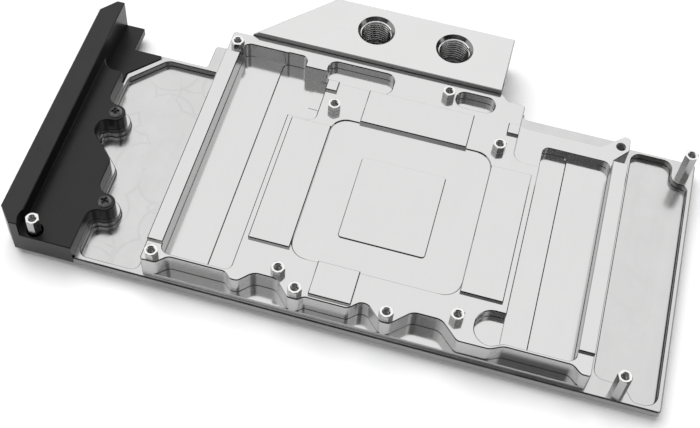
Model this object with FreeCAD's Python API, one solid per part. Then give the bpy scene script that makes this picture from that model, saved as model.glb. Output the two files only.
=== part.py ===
import FreeCAD, Part
import math
import os

from FreeCAD import Vector

# A cold plate for a large expansion card, lying on its cover with the contact side up.
# Origin: under the middle of the processor pad, on the face that the part lies on.
# +X runs along the card, +Y towards the terminal, +Z out of the contact side. Millimetres.

# Levels and thicknesses
cover_thickness = 3.4
plate_thickness = 9.9
pad_height = 1.1
processor_recess_depth = 0.4
processor_pad_height = 0.45
shelf_depth = 3.6
channel_depth = 6.9
channel_step = 0.45
notch_depth = 7.75
cover_pocket_depth = 2.5
board_clearance = 3.2

cover_top = cover_thickness
deck = cover_top + plate_thickness
pad_top = deck + pad_height
recess_floor = deck - processor_recess_depth
shelf_floor = deck - shelf_depth
channel_floor = deck - channel_depth
deep_floor = channel_floor - channel_step
notch_floor = deck - notch_depth
pocket_floor = cover_top - cover_pocket_depth
board_plane = deck + board_clearance
above = board_plane + 5.0

# Cold plate outline
plate_side = 75.6
left_corner_land = 5.4
left_notch_start = 8.8
right_corner_land = 3.2
right_notch_end = 6.2
plate_front = -43.75
plate_back = 59.7
plate_corner = 1.0
deck_back_right = 57.3
deck_right = 35.9
shelf_back = 49.7
ear_slope_inset = 10.0
ear_top = 58.8
ear_notch_front = 41.5
ear_notch_depth = 4.8
ear_notch_back = 45.0
ear_notch_rise = 5.7

# Front edge of the thick part, as (x, depth behind the front, corner radius), from left to right
front_edge = [
    (left_corner_land - plate_side, 0.0, 2.0), (left_notch_start - plate_side, 3.4, 3.4),
    (-47.0, 3.4, 2.8), (-44.7, 1.2, 2.2),
    (-42.1, 1.2, 2.5), (-37.8, 5.7, 4.4), (-30.1, 5.7, 4.0), (-24.8, 0.0, 2.4),
    (-21.2, 0.0, 1.8), (-19.4, 1.7, 1.8), (-4.6, 1.7, 2.6), (-1.2, 5.1, 3.0),
    (1.5, 4.9, 3.0), (6.4, 0.0, 2.2), (9.6, 0.0, 2.4), (16.1, 6.4, 4.4),
    (25.6, 6.4, 4.4), (31.9, 0.3, 2.6), (42.7, 0.4, 5.0), (46.9, 2.6, 5.0),
    (plate_side - right_notch_end, 2.6, 3.2), (plate_side - right_corner_land, 0.0, 2.4),
]

# Edge breaks
deck_chamfer = 0.3
cover_chamfer = 0.45
black_chamfer = 0.3

# Pads that press on the board's chips, and the strips at both ends
strip_width = 5.5
strip_front = -36.0
left_strip_back = 49.7
right_strip_back = 41.4
recess_half = 29.1
recess_front = -28.0
recess_back = 31.8
recess_radius = 6.0
memory_pad_width = 14.5
memory_pad_front = -25.9
memory_pad_back = 26.9
rear_pad_left = -19.8
rear_pad_right = 19.1
rear_pad_back = 46.6
front_pad_left = -18.5
front_pad_front = -41.0
processor_pad_half = 15.0
processor_pad_front = -16.4
processor_pad_back = 17.7
processor_pad_radius = 1.2
coil_pad_width = 4.3
coil_pad_depth = 4.7
coil_pad_back = 47.1

# Channels, slots, shelf and the round pocket, milled from the contact side
channel_outer = plate_side - strip_width
channel_inner = 45.6
channel_split = 54.75
left_channel_front = -39.3
left_channel_back = 55.4
left_channel_deep_back = 55.7
right_channel_front = -40.1
right_channel_back = 43.7
channel_radius = 3.0
deep_radius = 2.4
side_pocket_right = -35.6
side_pocket_front = 28.2
side_pocket_back = 51.2
side_step_left = -40.7
side_step_front = 38.2
side_step_height = 0.2
left_slot_left = -37.3
left_slot_right = -12.4
left_slot_front = 47.1
right_slot_left = 11.0
right_slot_right = 25.3
right_slot_front = 49.7
slot_back = 56.7
slot_radius = 3.3
shelf_front = 31.9
shelf_radius = 4.0
round_pocket_left = 36.3
round_pocket_front = -42.0
round_pocket_back = -29.2
round_pocket_radius = 5.8
round_pocket_turn = 42.9
round_pocket_bend = 2.4
ear_hole_inset = 3.1
ear_hole_y = 51.8
ear_hole_radius = 1.65

# Coolant path inside: fins under the processor pad, a jet plate on their tips, a collector round them
fin_root_skin = 3.2
fin_pitch = 1.0
fin_thickness = 0.5
fin_half_length = 15.0
fin_front = -16.5
fin_count = 34
jet_plate_thickness = 1.2
jet_plate_overlap = 1.8
jet_plate_corner = 0.6
jet_slot_width = 2.4
jet_slot_margin = 1.8
jet_plate_clearance = 0.05
collector_width = 8.0
duct_width = 8.0
duct_height = 3.0
duct_skin = 1.0
duct_bend = 9.0
duct_corner = 1.1
inlet_cavity_length = 8.5
inlet_turn_y = 36.0
inlet_turn_run = 16.0
outlet_turn_gap = 10.0
outlet_turn_run = 15.0
cover_duct_depth = 2.0

# Gaskets between the cold plate and its cover, and face seals at the terminal
gasket_width = 1.6
gasket_thickness = 1.0
gasket_land = 1.8
gasket_edge = 2.2
gasket_spacing = 1.3
gasket_corner = 2.4
gasket_step = 2.0
gasket_clearance = 0.1
face_seal_land = 0.9
face_seal_width = 1.1

# Cover plate outline and its two clearance pockets
cover_front = -44.8
right_wing = 24.9
cover_back_right = 56.8
cover_back_middle = 58.9
cover_tab_right = 36.6
cover_tab_left = 28.0
cover_tab_back = 61.0
cover_tab_foot = 1.0
cover_tab_radius = 0.5
cover_shoulder_inset = 0.6
cover_back_left = 58.6
left_wing_step = 7.0
cover_wing_front = 47.5
wing_end_gap = 9.8
cover_corner = 1.2
pocket_inset = 1.9
left_pocket_back = 46.1
left_pocket_front = -43.0
left_pocket_slope_x = 11.4
left_pocket_slope_y = 12.3
right_pocket_rim = 1.8
right_pocket_back = 55.3
right_pocket_front = -43.3
pocket_radius = 3.4
pocket_slope_start = 2.0
pocket_slope_end = 5.6
pocket_slope_radius = 3.0
standoff_land_side = 4.1
standoff_land_front = 3.9

# Terminal with two ports
terminal_right = 26.5
terminal_front_left = -68.6
terminal_back_left = -42.4
terminal_back = 86.4
terminal_rise = 2.1
terminal_chamfer = 1.6
port_left = -24.4
port_spacing = 30.0
port_y = 74.0
port_rim_radius = 7.0
port_thread_radius = 5.9
port_floor = 3.0

# Standoffs, each a hexagonal post turned by its own angle
standoff_flats = 4.3
standoff_top_radius = 2.0
standoff_bore_radius = 1.25
standoff_bore_depth = 2.8
standoff_inset_x = 3.4
standoff_inset_front = 2.55
standoff_inset_back = 6.5
tall_standoff_step = 10.0
tall_standoff_inset = 4.1
tall_standoff_inset_back = 6.5
tall_standoff_inset_front = 2.8
spigot_radius = 1.6
spigot_length = 2.6
cover_spigot_length = 2.0
spigot_clearance = 0.03
spigot_end_gap = 0.1
processor_hole_spacing_x = 60.5
processor_hole_spacing_y = 70.8
processor_hole_middle_y = -0.05

# Screws; what repeats is drawn with a few flat sides
round_sides = 12
screw_radius = 1.5
screw_clearance = 0.15
screw_grip = 5.0
screw_end_gap = 0.6
end_screw_grip = 3.0
flat_head_radius = 2.75
flat_head_height = 1.65
flat_socket_radius = 1.1
flat_socket_depth = 1.0
cap_head_radius = 2.75
cap_head_height = 3.0
cap_head_clearance = 0.2
cap_socket_radius = 1.4
cap_socket_depth = 1.5
pan_head_radius = 2.45
pan_head_height = 1.2
cross_width = 0.6
cross_depth = 0.6
side_screw_front = -14.0
side_screw_back = 20.0
front_screw_inset = 4.75
back_screw_inset = 1.5
back_screw_side = 4.7
rear_corner_screw_inset = 4.7
terminal_screw_left = 11.6
terminal_screw_right = 14.4

# Black end cover: tall end wall, a floor at middle height with two lugs, and a low plate behind
end_left = -126.3
end_wall_thickness = 7.8
end_wall_top = 16.0
end_floor = 9.2
end_low_top = 3.3
end_front = -44.6
end_back = 58.6
end_corner_x = 4.9
end_corner_y = 5.7
end_skin = 1.6
end_front_skin = 1.0
end_fit = 0.1
end_gap = 0.3
end_floor_back = 32.1
end_low_width = 6.9
end_rear_width = 8.1
end_front_width = 18.4
end_slope_corner = 11.8
end_floor_fillet = 5.0
end_bend = 3.0
lug_radius = 3.55
bite_radius = 4.2
slope_bite_radius = 4.0
rear_lug_reach = 4.5
rear_lug_y = 13.5
front_lug_reach = 4.3
front_lug_y = -23.7
standoff_relief = 2.7
standoff_hole_gap = 0.3
cover_rim = 1.4

# Heights and places that follow from the sizes above
standoff_corner = standoff_flats / math.sqrt(3)
ear_slope_foot = plate_side - ear_slope_inset
ear_hole_x = plate_side - ear_hole_inset
cover_right = plate_side + right_wing
pocket_side = plate_side + pocket_inset
right_pocket_right = cover_right - right_pocket_rim
end_wall_inner = end_left + end_wall_thickness
end_low_right = end_wall_inner + end_low_width
end_edge_rear = end_wall_inner + end_rear_width
end_edge_front = end_wall_inner + end_front_width
end_slope_sum = end_wall_inner + end_slope_corner
rear_lug_x = end_edge_rear + rear_lug_reach
front_lug_x = end_edge_front + front_lug_reach
cover_wing_left = -plate_side - left_wing_step
cover_wing_end = end_edge_rear + wing_end_gap
cover_shoulder = end_floor_back - cover_shoulder_inset
fin_root = recess_floor - fin_root_skin
fin_tip = cover_top + jet_plate_thickness
fin_back = fin_front + fin_pitch * (fin_count - 1) + fin_thickness
duct_top = shelf_floor - duct_skin
duct_middle = duct_top - duct_height / 2
outer_gasket_back = plate_back - gasket_edge
mouth_back = outer_gasket_back - 1.5 * gasket_width - gasket_spacing - gasket_land
inlet_x = port_left
outlet_x = port_left + port_spacing
collector_middle = fin_half_length + collector_width / 2
collector_front = fin_front - collector_width
terminal_top = deck + terminal_rise
terminal_screw_z = cover_top + 3.5
strip_middle = plate_side - strip_width / 2


def arc_corner(before, corner, after, radius):
    """Both tangent points and the middle point of the arc that rounds one corner."""
    to_before = (before - corner).normalize()
    to_after = (after - corner).normalize()
    half = to_before.getAngle(to_after) / 2
    reach = radius / math.tan(half)
    inward = (to_before + to_after).normalize()
    middle = corner + inward * (radius / math.sin(half) - radius)
    return corner + to_before * reach, middle, corner + to_after * reach


def outline(points):
    """Flat face with the given corners, each (x, y) or (x, y, radius)."""
    corners = [Vector(p[0], p[1], 0) for p in points]
    radii = [p[2] if len(p) > 2 else 0 for p in points]
    count = len(points)
    edges = []
    starts = []
    ends = []
    for i in range(count):
        first = last = corners[i]
        if radii[i] > 0:
            first, middle, last = arc_corner(corners[i - 1], corners[i], corners[(i + 1) % count], radii[i])
            edges.append(Part.Arc(first, middle, last).toShape())
        starts.append(first)
        ends.append(last)
    for i in range(count):
        after = starts[(i + 1) % count]
        if ends[i].distanceToPoint(after) > 1e-4:
            edges.append(Part.LineSegment(ends[i], after).toShape())
    return Part.Face(Part.Wire(Part.__sortEdges__(edges)))


def prism(points, low, high):
    face = outline(points)
    face.translate(Vector(0, 0, low))
    return face.extrude(Vector(0, 0, high - low))


def block(left, right, front, back, low, high, radius=0):
    corners = [(left, front, radius), (right, front, radius), (right, back, radius), (left, back, radius)]
    return prism(corners, low, high)


def rod(x, y, radius, low, high):
    return Part.makeCylinder(radius, high - low, Vector(x, y, low))


def regular(radius, sides, turn=0):
    return [(radius * math.cos(math.radians(turn) + 2 * math.pi * i / sides),
             radius * math.sin(math.radians(turn) + 2 * math.pi * i / sides)) for i in range(sides)]


def faceted(x, y, profile):
    """Turned form with a few flat sides about the vertical through x, y, from (radius, z) points."""
    rings = [[Vector(x + a, y + b, z) for a, b in regular(radius, round_sides)] for radius, z in profile]
    faces = [Part.Face(Part.makePolygon(ring + ring[:1])) for ring in (rings[0], rings[-1])]
    for lower, upper in zip(rings, rings[1:]):
        for i in range(round_sides):
            j = (i + 1) % round_sides
            faces.append(Part.Face(Part.makePolygon([lower[i], lower[j], upper[j], upper[i], lower[i]])))
    return Part.Solid(Part.Shell(faces)).removeSplitter()


def shank(x, y, radius, low, high):
    return faceted(x, y, [(radius, low), (radius, high)])


def shank_along_y(x, z, profile):
    """The same form about a line along Y; the profile is (radius, y) points."""
    solid = faceted(0, 0, [(radius, -y) for radius, y in profile[::-1]])
    solid.rotate(Vector(0, 0, 0), Vector(1, 0, 0), 90)
    solid.translate(Vector(x, 0, z))
    return solid


def turned(x, y, profile):
    """Solid of revolution about the vertical through x, y; the profile is (radius, z) points."""
    points = [Vector(r, 0, z) for r, z in profile]
    face = Part.Face(Part.makePolygon(points + points[:1]))
    solid = face.revolve(Vector(0, 0, 0), Vector(0, 0, 1), 360)
    solid.translate(Vector(x, y, 0))
    return solid


def hexagon(radius, low, high, turn=0):
    return prism(regular(radius, 6, turn), low, high)


def cut_corners(points, size):
    """The same outline with each corner cut off, its two sides shortened by one size."""
    spots = [Vector(p[0], p[1], 0) for p in points]
    cut = []
    for i, spot in enumerate(spots):
        for other in (spots[i - 1], spots[(i + 1) % len(spots)]):
            near = spot + (other - spot).normalize() * size
            cut.append((near.x, near.y))
    return cut


def chamfered(solid, size, height, keep=None):
    """Breaks the edges that lie flat at one height, or only those whose middle passes a test."""
    chosen = []
    for edge in solid.Edges:
        box = edge.BoundBox
        if abs(box.ZMin - height) < 1e-4 and abs(box.ZMax - height) < 1e-4:
            if keep is None or keep(box.Center):
                chosen.append(edge)
    return solid.makeChamfer(size, chosen)


def lane(line, width):
    """Plan of a lane of constant width along a broken line, with cut corners."""
    half = width / 2
    spots = [Vector(x, y, 0) for x, y in line]
    route = [spots[0] + (spots[0] - spots[1]).normalize() * half] + spots[1:-1]
    route.append(spots[-1] + (spots[-1] - spots[-2]).normalize() * half)
    steps = [(b - a).normalize() for a, b in zip(route, route[1:])]
    lefts = []
    rights = []
    for i, spot in enumerate(route):
        behind = steps[max(i - 1, 0)]
        ahead = steps[min(i, len(steps) - 1)]
        mean = (behind + ahead).normalize()
        across = Vector(-mean.y, mean.x, 0) * (half / mean.dot(ahead))
        lefts.append((spot.x + across.x, spot.y + across.y))
        rights.append((spot.x - across.x, spot.y - across.y))
    return cut_corners(rights + lefts[::-1], duct_corner + width / 6)


def grown(points, margin):
    """An anticlockwise outline moved outwards by a margin."""
    spots = [Vector(p[0], p[1], 0) for p in points]
    moved = []
    for i, spot in enumerate(spots):
        behind = (spot - spots[i - 1]).normalize()
        ahead = (spots[(i + 1) % len(spots)] - spot).normalize()
        mean = (behind + ahead).normalize()
        out = Vector(mean.y, -mean.x, 0) * (margin / mean.dot(ahead))
        moved.append((spot.x + out.x, spot.y + out.y))
    return moved


def ring(middle, width, low, high):
    """Closed band of constant width along an outline."""
    inside = prism(grown(middle, -width / 2), low - 1, high + 1)
    return prism(grown(middle, width / 2), low, high).cut(inside)


# Where the standoffs, screws and ports stand

def processor_standoffs():
    """Each standoff's place and the angle that it is turned by."""
    half_x = processor_hole_spacing_x / 2
    front = processor_hole_middle_y - processor_hole_spacing_y / 2
    back = processor_hole_middle_y + processor_hole_spacing_y / 2
    return {
        "processor_standoff_front_left": (-half_x, front, 3),
        "processor_standoff_front_right": (half_x, front, 24),
        "processor_standoff_rear_left": (-half_x, back, 38),
        "processor_standoff_rear_right": (half_x, back, 20),
    }


def edge_standoffs():
    left = standoff_inset_x - plate_side
    front = plate_front + standoff_inset_front
    back = plate_back - standoff_inset_back
    return {
        "standoff_front_left": (left, front, 0),
        "standoff_front_middle": (-22.9, front, 0),
        "standoff_front_right": (7.9, front, 0),
        "standoff_rear_left": (left, back, 12),
        "standoff_rear_middle": (8.1, back, 27),
    }


def tall_standoffs():
    front_y = cover_front + tall_standoff_inset_front
    rear_x = cover_right - tall_standoff_inset
    rear_y = cover_back_right - tall_standoff_inset_back
    return {
        "tall_standoff_left": (end_wall_inner + 4.4, end_front + 3.5, 0),
        "tall_standoff_front": (plate_side + tall_standoff_step, front_y, -8),
        "tall_standoff_rear": (rear_x, rear_y, 18),
    }


def cover_screw_places():
    memory_middle = recess_half + memory_pad_width / 2
    middle = [(side * memory_middle, y) for y in (side_screw_front, side_screw_back) for side in (-1, 1)]
    front = [(side * strip_middle, plate_front + front_screw_inset) for side in (-1, 1)]
    return middle + front + [
        (-strip_middle, plate_back - rear_corner_screw_inset),
        (left_slot_left - back_screw_side, slot_back - back_screw_inset),
        ((right_slot_right + deck_right) / 2, (right_slot_front + slot_back) / 2),
        (channel_split, (right_channel_back + shelf_back) / 2),
    ]


def terminal_screw_places():
    return [inlet_x - terminal_screw_left, outlet_x + terminal_screw_right]


def end_screw_places():
    return {
        "end_cover_screw_rear": (rear_lug_x, rear_lug_y),
        "end_cover_screw_front": (front_lug_x, front_lug_y),
    }


# Coolant route, shared by the cold plate, the cover plate, the jet plate and the gaskets

def inlet_line():
    first = mouth_back - duct_width / 2
    last = fin_front + jet_slot_margin
    return [(inlet_x, first), (inlet_x, inlet_turn_y), (0, inlet_turn_y - inlet_turn_run), (0, last)]


def outlet_line():
    last = mouth_back - duct_width / 2
    first = fin_back - duct_width / 2
    turn = fin_back + outlet_turn_gap
    outlet_turn = turn + outlet_turn_run
    return [(collector_middle, first), (collector_middle, turn), (outlet_x, outlet_turn), (outlet_x, last)]


def inner_gasket_middle():
    return lane(inlet_line(), duct_width + 2 * gasket_land + gasket_width)


def outer_gasket_middle():
    """Outer gasket's centre line: outside everything wet, inside the screws."""
    away = gasket_land + gasket_width / 2
    side = fin_half_length + collector_width + away
    inlet_side = inlet_x - duct_width / 2 - away - gasket_width - gasket_spacing
    outlet_side = outlet_x + duct_width / 2 + away
    outlet_turn = fin_back + outlet_turn_gap + away + gasket_step
    corners = [
        (-side, collector_front - away),
        (side, collector_front - away),
        (side, outlet_turn),
        (outlet_side, outlet_turn + 0.8 * outlet_turn_run),
        (outlet_side, outer_gasket_back),
        (inlet_side, outer_gasket_back),
        (inlet_side, fin_back + inlet_turn_run - gasket_step),
        (-side, fin_back + gasket_step),
    ]
    return cut_corners(corners, gasket_corner)


def duct_section(margin):
    half_width = duct_width / 2 + margin
    half_height = duct_height / 2 + margin
    corners = [(-half_width, -half_height), (half_width, -half_height),
               (half_width, half_height), (-half_width, half_height)]
    return cut_corners(corners, duct_corner + 0.6 * margin)


def duct_bore(x, front, back, margin=0):
    """Flat duct along Y with cut corners, or the same outline moved out by a margin."""
    bore = prism(duct_section(margin), 0, back - front)
    bore.rotate(Vector(0, 0, 0), Vector(1, 0, 0), 90)
    bore.translate(Vector(x, back, duct_middle))
    return bore


# Cold plate: one block of copper, milled on both sides

def rear_outline():
    return [
        (plate_side, ear_notch_front),
        (plate_side - ear_notch_depth, ear_notch_front),
        (plate_side - ear_notch_depth, ear_notch_back),
        (plate_side, ear_notch_back + ear_notch_rise),
        (plate_side, ear_top, 1.6),
        (ear_slope_foot, shelf_back, 3.0),
        (deck_right, shelf_back, 2.5),
        (deck_right, deck_back_right, plate_corner),
        (terminal_right + 2.9, deck_back_right, 1.5),
        (terminal_right + 0.5, plate_back),
        (-plate_side, plate_back, plate_corner),
    ]


def plate_outline(front):
    ends = [(-plate_side, plate_front, plate_corner), (plate_side, plate_front, plate_corner)]
    return ends[:1] + front + ends[1:] + rear_outline()


def channels():
    left = -channel_inner
    side_left = left - 2 * channel_radius
    step = deep_floor + side_step_height
    return [
        block(-channel_outer, left, left_channel_front, left_channel_back, channel_floor, above,
              channel_radius),
        block(-channel_split, left, left_channel_front, left_channel_deep_back, deep_floor, above,
              deep_radius),
        block(side_left, side_pocket_right, side_pocket_front, side_pocket_back, step, above, deep_radius),
        block(side_left, side_pocket_right, side_pocket_front, side_step_front, deep_floor, step,
              deep_radius),
        block(side_left, side_step_left, side_pocket_front, side_pocket_back, deep_floor, step, deep_radius),
        block(channel_inner, channel_outer, right_channel_front, right_channel_back, channel_floor, above,
              channel_radius),
        block(channel_inner, channel_split, right_channel_front, right_channel_back, deep_floor, above,
              deep_radius),
    ]


def round_pocket():
    """Pocket that opens into the right channel, its front bent back beside the plate's front edge."""
    mouth = channel_inner + round_pocket_bend / 2
    corners = [
        (round_pocket_left, round_pocket_front, round_pocket_radius),
        (round_pocket_turn, round_pocket_front, round_pocket_bend),
        (mouth, right_channel_front),
        (channel_split, right_channel_front),
        (channel_split, round_pocket_back),
        (round_pocket_left, round_pocket_back, round_pocket_radius),
    ]
    return prism(corners, shelf_floor, above)


def slots():
    return [
        block(left_slot_left, left_slot_right, left_slot_front, slot_back, shelf_floor, above, slot_radius),
        block(right_slot_left, right_slot_right, right_slot_front, slot_back, shelf_floor, above,
              slot_radius),
        round_pocket(),
    ]


def shelf():
    """Space over the lower shelf at the rear right, from the deck's edge to the ear."""
    inside_channel = channel_inner + channel_radius
    step_back = right_channel_back - channel_radius
    beyond_x = plate_side + 5
    beyond_y = ear_top + 5
    corners = [
        (deck_right, shelf_front, shelf_radius),
        (inside_channel, shelf_front),
        (inside_channel, step_back),
        (channel_outer, step_back),
        (channel_outer, right_strip_back),
        (beyond_x, right_strip_back),
        (beyond_x, beyond_y),
        (deck_right, beyond_y),
    ]
    return prism(corners, shelf_floor, above)


def raised_pad(left, right, front, back):
    return chamfered(block(left, right, front, back, recess_floor, pad_top), deck_chamfer, pad_top)


def pads_and_strips():
    memory_outer = recess_half + memory_pad_width
    coil_front = coil_pad_back - coil_pad_depth
    front_pad_right = front_pad_left + memory_pad_width
    return [
        raised_pad(-memory_outer, -recess_half, memory_pad_front, memory_pad_back),
        raised_pad(recess_half, memory_outer, memory_pad_front, memory_pad_back),
        raised_pad(rear_pad_left, rear_pad_right, recess_back, rear_pad_back),
        raised_pad(front_pad_left, front_pad_right, front_pad_front, recess_front),
        raised_pad(side_pocket_right, side_pocket_right + coil_pad_width, coil_front, coil_pad_back),
        raised_pad(deck_right - coil_pad_width, deck_right, coil_front, coil_pad_back),
        raised_pad(-plate_side, -channel_outer, strip_front, left_strip_back),
        raised_pad(channel_outer, plate_side, strip_front, right_strip_back),
    ]


def processor_pad():
    top = recess_floor + processor_pad_height
    pad = block(-processor_pad_half, processor_pad_half, processor_pad_front, processor_pad_back,
                fin_root, top, processor_pad_radius)
    return chamfered(pad, deck_chamfer / 2, top)


def fin_gaps():
    """The gaps between the fins, each as long as a fin."""
    gap = fin_pitch - fin_thickness
    return [block(-fin_half_length, fin_half_length, fin_front + fin_thickness + i * fin_pitch,
                  fin_front + fin_thickness + i * fin_pitch + gap, fin_tip, fin_root)
            for i in range(fin_count - 1)]


def jet_plate_seat(clearance):
    side = fin_half_length + jet_plate_overlap + clearance
    front = fin_front - jet_plate_overlap - clearance
    back = fin_back + jet_plate_overlap + clearance
    corners = [(-side, front), (side, front), (side, back), (-side, back)]
    return prism(cut_corners(corners, jet_plate_corner), cover_top, fin_tip)


def coolant_space():
    """Jet plate seat, fin gaps, collectors, inlet cavity, outlet and the two ducts to the terminal."""
    wide = fin_half_length + collector_width
    half_duct = duct_width / 2
    collectors = [
        block(-wide, -fin_half_length, collector_front, fin_back, cover_top, fin_root, 0),
        block(fin_half_length, wide, collector_front, fin_back, cover_top, fin_root, 0),
        block(-wide, wide, collector_front, fin_front, cover_top, fin_root, 0),
    ]
    cavity = [(inlet_x - half_duct, mouth_back - inlet_cavity_length),
              (inlet_x + half_duct, mouth_back - inlet_cavity_length),
              (inlet_x + half_duct, mouth_back), (inlet_x - half_duct, mouth_back)]
    inlet = prism(cut_corners(cavity, duct_corner), cover_top, duct_top)
    outlet = prism(lane(outlet_line(), duct_width), cover_top, duct_top)
    ducts = [duct_bore(x, mouth_back - half_duct, plate_back + 1) for x in (inlet_x, outlet_x)]
    return [jet_plate_seat(jet_plate_clearance), inlet, outlet] + fin_gaps() + collectors + ducts


def cold_plate_holes():
    standoffs = {**processor_standoffs(), **edge_standoffs()}
    thread = screw_radius + spigot_clearance
    spigots = [shank(x, y, spigot_radius + spigot_clearance, deck - spigot_length, above)
               for x, y, turn in standoffs.values()]
    cover_threads = [shank(x, y, thread, 0, cover_top + screw_grip) for x, y in cover_screw_places()]
    thread_profile = [(thread, plate_back - screw_grip), (thread, plate_back + 1)]
    terminal_threads = [shank_along_y(x, terminal_screw_z, thread_profile)
                        for x in terminal_screw_places()]
    ear_hole = rod(ear_hole_x, ear_hole_y, ear_hole_radius, 0, above)
    return spigots + cover_threads + terminal_threads + [ear_hole]


def cold_plate():
    web = prism(plate_outline([]), cover_top, notch_floor)
    front = [(x, plate_front + depth, radius) for x, depth, radius in front_edge]
    thick = prism(plate_outline(front), notch_floor, deck)
    body = web.fuse(thick).removeSplitter()
    recess = block(-recess_half, recess_half, recess_front, recess_back, recess_floor, above, recess_radius)
    body = body.cut([recess, shelf()] + channels() + slots()).removeSplitter()
    body = chamfered(body, deck_chamfer, deck)
    body = body.fuse([processor_pad()] + pads_and_strips())
    body = body.cut(coolant_space())
    return body.cut(cold_plate_holes()).removeSplitter()


# Black end cover, and the inner edge that the cover plate's left pocket follows

def end_edge(gap):
    """Inner edge of the end cover moved out by a gap, from its rear to its front."""
    rear = end_edge_rear + gap
    front = end_edge_front + gap
    lug = lug_radius + gap
    bite = bite_radius - gap
    slope_sum = end_slope_sum + gap * math.sqrt(2)
    points = []
    for edge_x, lug_x, lug_y in ((rear, rear_lug_x, rear_lug_y), (front, front_lug_x, front_lug_y)):
        behind = lug_y + lug + 0.05
        ahead = lug_y - lug - 0.05
        points += [(edge_x, behind, bite), (lug_x + lug, behind, lug), (lug_x + lug, ahead, lug),
                   (edge_x, ahead, bite)]
    slope = [(rear, slope_sum - rear, slope_bite_radius - gap), (front, slope_sum - front, end_bend + gap)]
    return points[:4] + slope + points[4:]


def end_floor_outline(gap, wall_x, back, front):
    edge = end_edge(gap)
    return [(wall_x, back), (edge[0][0], back)] + edge + [(edge[-1][0], front), (wall_x, front)]


def end_floor_corner():
    """Web that rounds the corner between the floor's back face and the tall wall."""
    inside = end_wall_inner - 1
    reach = end_floor_back + end_floor_fillet
    return [(inside, end_floor_back - 1), (end_wall_inner + end_floor_fillet, end_floor_back - 1),
            (end_wall_inner + end_floor_fillet, end_floor_back),
            (end_wall_inner, end_floor_back, end_floor_fillet - 0.01),
            (end_wall_inner, reach), (inside, reach)]


def end_wall_outline(skin):
    """Plan of the tall end wall with its two cut corners, moved in by a skin."""
    left = end_left + skin
    front = end_front + skin
    back = end_back - skin
    ease = 0.6 * skin
    return [
        (left, front + end_corner_y - ease),
        (left + end_corner_x - ease, front),
        (end_wall_inner - skin, front),
        (end_wall_inner - skin, back),
        (left + end_corner_x - ease, back),
        (left, back - end_corner_y + ease),
    ]


def end_low_outline():
    slope = cover_wing_end - end_gap
    diagonal = end_gap / math.sqrt(2)
    return [
        (end_wall_inner - 1, cover_shoulder + end_fit),
        (end_edge_rear - end_gap, cover_shoulder + end_fit),
        (end_edge_rear - diagonal, wing_slope_front() + diagonal),
        (slope, cover_wing_front - 1.5 + diagonal),
        (slope, cover_wing_front + end_fit),
        (end_low_right, cover_wing_front + end_fit),
        (end_low_right, end_back),
        (end_wall_inner - 1, end_back),
    ]


def wing_slope_front():
    """Where the diagonal edge between the cover plate and the low plate begins, along Y."""
    return cover_wing_front - 1.5 - (cover_wing_end - end_edge_rear) * 1.04


def end_cover():
    wall = chamfered(prism(end_wall_outline(0), 0, end_wall_top), black_chamfer, end_wall_top)
    floor = prism(end_floor_outline(0, end_wall_inner - 1, end_floor_back, end_front), cover_top, end_floor)
    floor = floor.fuse(prism(end_floor_corner(), cover_top, end_floor)).removeSplitter()
    floor = chamfered(floor, black_chamfer, end_floor, lambda middle: middle.x > end_wall_inner)
    low_plate = prism(end_low_outline(), 0, end_low_top)
    skirt = block(end_wall_inner - 1, end_edge_front, end_front, end_front + end_front_skin, 0, cover_top)
    body = wall.fuse([floor, low_plate, skirt])
    under_wall = prism(end_wall_outline(end_skin), 0, end_wall_top - end_skin)
    under_floor = prism(end_floor_outline(-end_skin, end_wall_inner + end_skin, end_floor_back - end_skin,
                                          end_front + end_front_skin),
                        cover_top, end_floor - end_skin)
    body = body.cut([under_wall, under_floor])
    lugs = [rod(x, y, lug_radius - end_fit, cover_top, end_floor - end_skin / 2)
            for x, y in end_screw_places().values()]
    body = body.fuse(lugs)
    x, y, turn = tall_standoffs()["tall_standoff_left"]
    clear = standoff_corner + standoff_hole_gap
    relief = rod(x, y, standoff_corner + standoff_relief, end_floor, above)
    cuts = [rod(x, y, clear, 0, end_wall_top + 1), relief]
    cuts += [shank(a, b, screw_radius + screw_clearance, 0, above) for a, b in end_screw_places().values()]
    return body.cut(cuts).removeSplitter()


# Cover plate: the wide plate that closes the coolant space and carries both ends

def cover_outline():
    front_left = end_edge_front + end_gap
    rear_left = end_edge_rear + 0.2
    beside_wall = end_wall_inner + 0.7
    return [
        (front_left, cover_front),
        (cover_right, cover_front, cover_corner),
        (cover_right, cover_back_right, cover_corner),
        (plate_side, cover_back_right),
        (plate_side, cover_back_middle),
        (cover_tab_right, cover_back_middle, cover_tab_foot),
        (cover_tab_right, cover_tab_back, cover_tab_radius),
        (cover_tab_left, cover_tab_back, cover_tab_radius),
        (cover_tab_left, plate_back - end_gap),
        (-plate_side, plate_back - end_gap),
        (-plate_side, cover_back_left),
        (cover_wing_left, cover_back_left, cover_corner),
        (cover_wing_left, cover_wing_front, 1.5),
        (cover_wing_end, cover_wing_front),
        (cover_wing_end, cover_wing_front - 1.5),
        (rear_left, wing_slope_front()),
        (rear_left, cover_shoulder),
        (beside_wall, cover_shoulder),
        (beside_wall, end_front + end_front_skin + end_fit),
        (front_left, end_front + end_front_skin + end_fit),
    ]


def left_pocket():
    edge = end_edge(cover_rim)
    rear_x = edge[0][0]
    corners = [
        (-pocket_side, left_pocket_back, 2.0),
        (rear_x + left_pocket_slope_x, left_pocket_back, 4.0),
        (rear_x, left_pocket_back - left_pocket_slope_y, 3.0),
    ]
    corners += edge
    corners += [(edge[-1][0], left_pocket_front, 3.0), (-pocket_side, left_pocket_front, 3.0)]
    return prism(corners, pocket_floor, above)


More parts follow.
